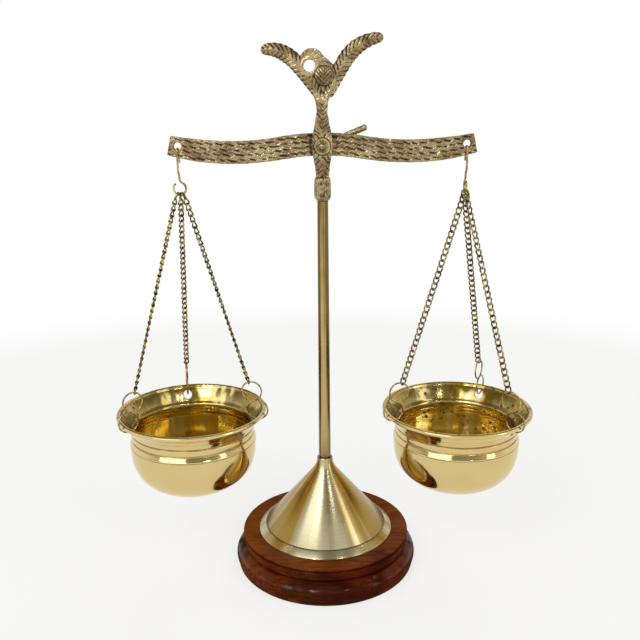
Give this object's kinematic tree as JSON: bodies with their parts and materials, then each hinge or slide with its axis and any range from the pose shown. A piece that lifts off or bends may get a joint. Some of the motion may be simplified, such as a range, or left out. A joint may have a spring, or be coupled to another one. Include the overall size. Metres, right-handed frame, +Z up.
{
  "type": "balance scale",
  "caption": "Ornamental equal-arm balance: cast eagle on a column, curved beam, and flared brass pans hung by chains over a turned wooden base.",
  "frame": {"origin": "centre of the underside of the wooden base, on the surface that it stands on", "axes": "+Z up along the column, +X to the right along the beam seen from the front, -Y towards the front face of the eagle"},
  "size_m": [0.2506, 0.111, 0.3127],
  "materials": {
    "varnished_wood": "reddish-brown varnish, glossy",
    "turned_brass": "satin, turned on a lathe",
    "polished_brass": "mirror polished, lightly tarnished inside",
    "cast_brass": "sand cast with relief, aged",
    "brass_wire": "drawn wire, slightly dull",
    "steel_hardware": "plain zinc-plated"
  },
  "bodies": {
    "stand": {"wooden_base": "varnished_wood", "base_washer": "steel_hardware", "base_nut": "steel_hardware", "cone_foot": "turned_brass", "column": "turned_brass", "eagle_finial": "cast_brass", "pivot_bolt": "cast_brass", "front_washer": "turned_brass", "rear_washer": "turned_brass"},
    "beam": {"beam": "cast_brass"},
    "lever": {"clamp_lever": "cast_brass"},
    "left_hook": {"left_hook": "brass_wire"},
    "right_hook": {"right_hook": "brass_wire"},
    "left_pan": {"left_pan": "polished_brass", "left_chain_front": "brass_wire", "left_chain_back": "brass_wire", "left_chain_side": "brass_wire", "left_rim_hook_front": "brass_wire", "left_rim_hook_back": "brass_wire", "left_rim_hook_side": "brass_wire"},
    "right_pan": {"right_pan": "polished_brass", "right_chain_front": "brass_wire", "right_chain_back": "brass_wire", "right_chain_side": "brass_wire", "right_rim_hook_front": "brass_wire", "right_rim_hook_back": "brass_wire", "right_rim_hook_side": "brass_wire"}
  },
  "joints": [
    {"name": "beam_tilt", "type": "hinge", "parent": "stand", "child": "beam", "pos_m": [0, 0.0043, 0.2536], "axis": [0, 1, 0], "range_deg": [-18, 18]},
    {"name": "lever_turn", "type": "hinge", "parent": "stand", "child": "lever", "pos_m": [0, 0.0084, 0.2536], "axis": [0, 1, 0], "range_deg": [-90, 20]},
    {"name": "left_hook_swing", "type": "hinge", "parent": "beam", "child": "left_hook", "pos_m": [-0.0803, 0.0043, 0.2528], "axis": [0, 1, 0], "range_deg": [-18, 18]},
    {"name": "right_hook_swing", "type": "hinge", "parent": "beam", "child": "right_hook", "pos_m": [0.0803, 0.0043, 0.2528], "axis": [0, 1, 0], "range_deg": [-18, 18]},
    {"name": "left_pan_swing", "type": "hinge", "parent": "left_hook", "child": "left_pan", "pos_m": [-0.0803, 0.0043, 0.2275], "axis": [1, 0, 0], "range_deg": [-15, 15]},
    {"name": "right_pan_swing", "type": "hinge", "parent": "right_hook", "child": "right_pan", "pos_m": [0.0803, 0.0043, 0.2308], "axis": [1, 0, 0], "range_deg": [-15, 15]}
  ],
  "couplings": [
    {"joint": "left_hook_swing", "follows": "beam_tilt", "ratio": -1},
    {"joint": "right_hook_swing", "follows": "beam_tilt", "ratio": -1}
  ]
}
